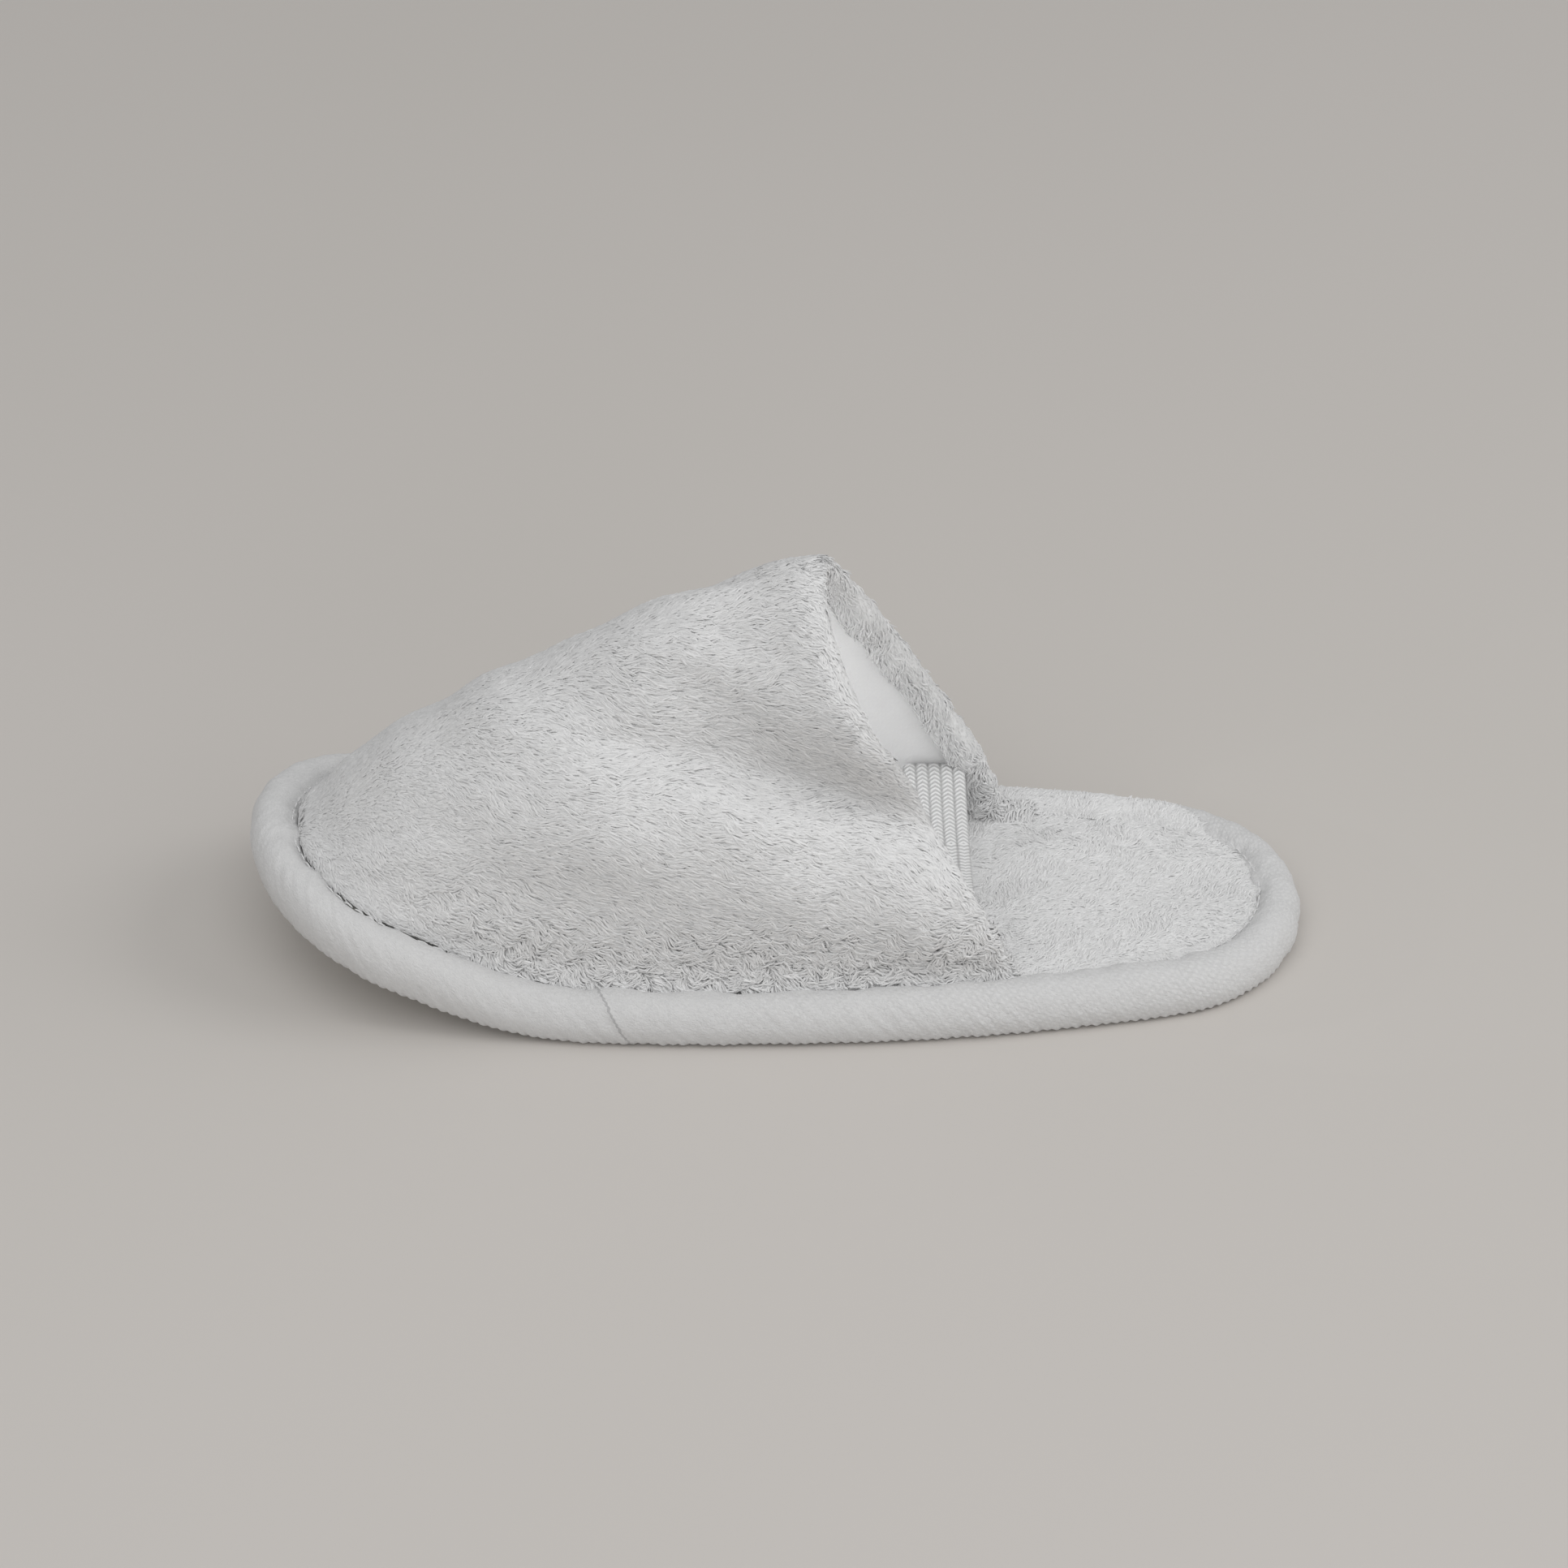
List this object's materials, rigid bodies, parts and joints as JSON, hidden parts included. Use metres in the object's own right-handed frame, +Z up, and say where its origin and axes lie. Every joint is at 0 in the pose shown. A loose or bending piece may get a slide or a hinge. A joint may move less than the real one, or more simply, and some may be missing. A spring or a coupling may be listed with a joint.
{
  "type": "plush slipper",
  "caption": "Closed-toe plush slipper with a padded upper, a fabric-bound layered sole turned up at the toe, and an elastic strap across the foot opening.",
  "frame": {"origin": "on the ground under the middle of the slipper's length and width", "axes": "+X towards the heel, -X towards the toe, +Y to the far side, +Z up"},
  "size_m": [0.21, 0.0838, 0.089],
  "materials": {
    "upper_fleece": "matte",
    "insole_fleece": "matte",
    "binding_tricot": "matte",
    "lining_tricot": "matte",
    "strap_elastic": "matte",
    "sewing_thread": "satin",
    "cushion_foam": "matte",
    "sole_foam": "matte"
  },
  "bodies": {
    "slipper": {"outsole_sheet": "sole_foam", "sole_cushion": "cushion_foam", "insole_plush": "insole_fleece", "binding_tape": "binding_tricot", "binding_top_stitches": "sewing_thread", "binding_under_stitches": "sewing_thread", "upper_plush": "upper_fleece", "upper_edge": "upper_fleece", "upper_foam": "cushion_foam", "upper_lining": "lining_tricot", "collar_stitches": "sewing_thread", "strap_end_near": "strap_elastic", "strap_end_far": "strap_elastic"},
    "strap": {"heel_strap": "strap_elastic"}
  },
  "joints": [
    {"name": "heel_strap_turn", "type": "hinge", "parent": "slipper", "child": "strap", "pos_m": [0.032, 0, 0.019], "axis": [0, 1, 0], "range_deg": [-80, 80], "stiffness_Nm_per_rad": 0.0005}
  ]
}
